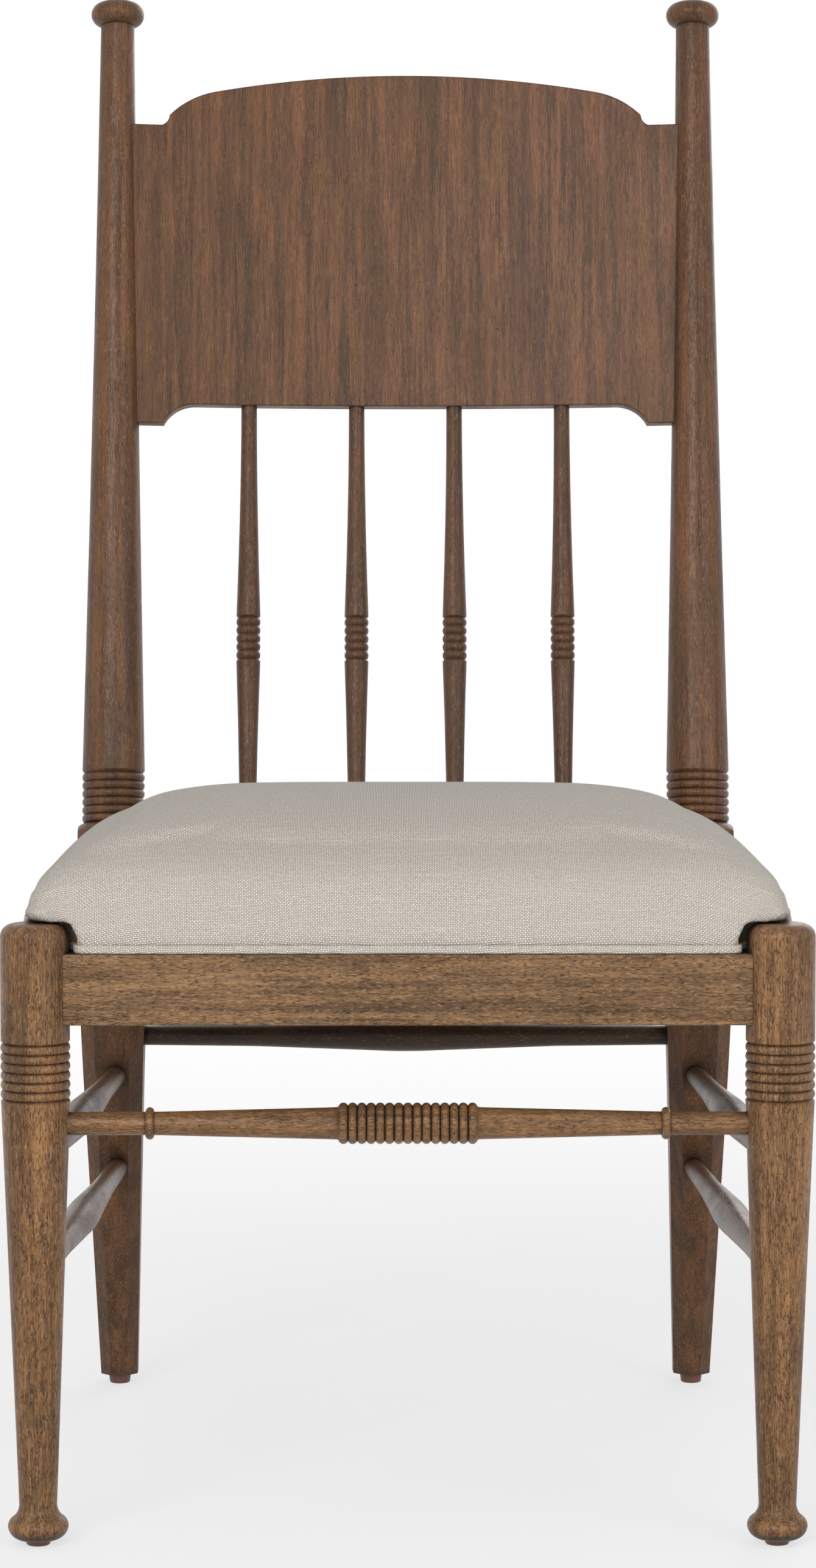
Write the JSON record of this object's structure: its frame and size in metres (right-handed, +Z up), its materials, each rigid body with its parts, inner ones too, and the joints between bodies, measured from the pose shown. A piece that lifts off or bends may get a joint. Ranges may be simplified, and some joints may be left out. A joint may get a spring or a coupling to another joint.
{
  "type": "dining chair",
  "caption": "Wooden dining chair with leaning turned back posts, a broad bent back panel over slim turned spindles, ringed turned legs and stretchers and a crowned linen seat cushion.",
  "frame": {"origin": "on the floor under the middle of the chair's bounding box", "axes": "+Z up, the front of the chair faces -Y, +X to the right of someone who looks at the front"},
  "size_m": [0.546, 0.6105, 1.0989],
  "materials": {
    "frame_wood": "satin",
    "panel_wood": "satin",
    "block_wood": "matte",
    "plywood": "matte",
    "linen": "matte",
    "foam": "matte",
    "dust_cloth": "matte",
    "steel": "satin",
    "glide_plastic": "satin"
  },
  "bodies": {
    "root": {"back_panel": "panel_wood", "back_spindle_1": "frame_wood", "back_spindle_2": "frame_wood", "back_spindle_3": "frame_wood", "back_spindle_4": "frame_wood", "corner_block_screws": "steel", "front_left_corner_block": "block_wood", "front_rail": "frame_wood", "front_right_corner_block": "block_wood", "front_stretcher": "frame_wood", "glide_nails": "steel", "left_back_glide": "glide_plastic", "left_back_post": "frame_wood", "left_front_glide": "glide_plastic", "left_front_leg": "frame_wood", "left_lower_side_stretcher": "frame_wood", "left_side_rail": "frame_wood", "left_upper_side_stretcher": "frame_wood", "rear_left_corner_block": "block_wood", "rear_rail": "frame_wood", "rear_right_corner_block": "block_wood", "rear_stretcher": "frame_wood", "right_back_glide": "glide_plastic", "right_back_post": "frame_wood", "right_front_glide": "glide_plastic", "right_front_leg": "frame_wood", "right_lower_side_stretcher": "frame_wood", "right_side_rail": "frame_wood", "right_upper_side_stretcher": "frame_wood", "seat_board": "plywood", "seat_cover": "linen", "seat_dust_cover": "dust_cloth", "seat_foam": "foam", "seat_screws": "steel", "seat_staples": "steel"}
  },
  "joints": []
}
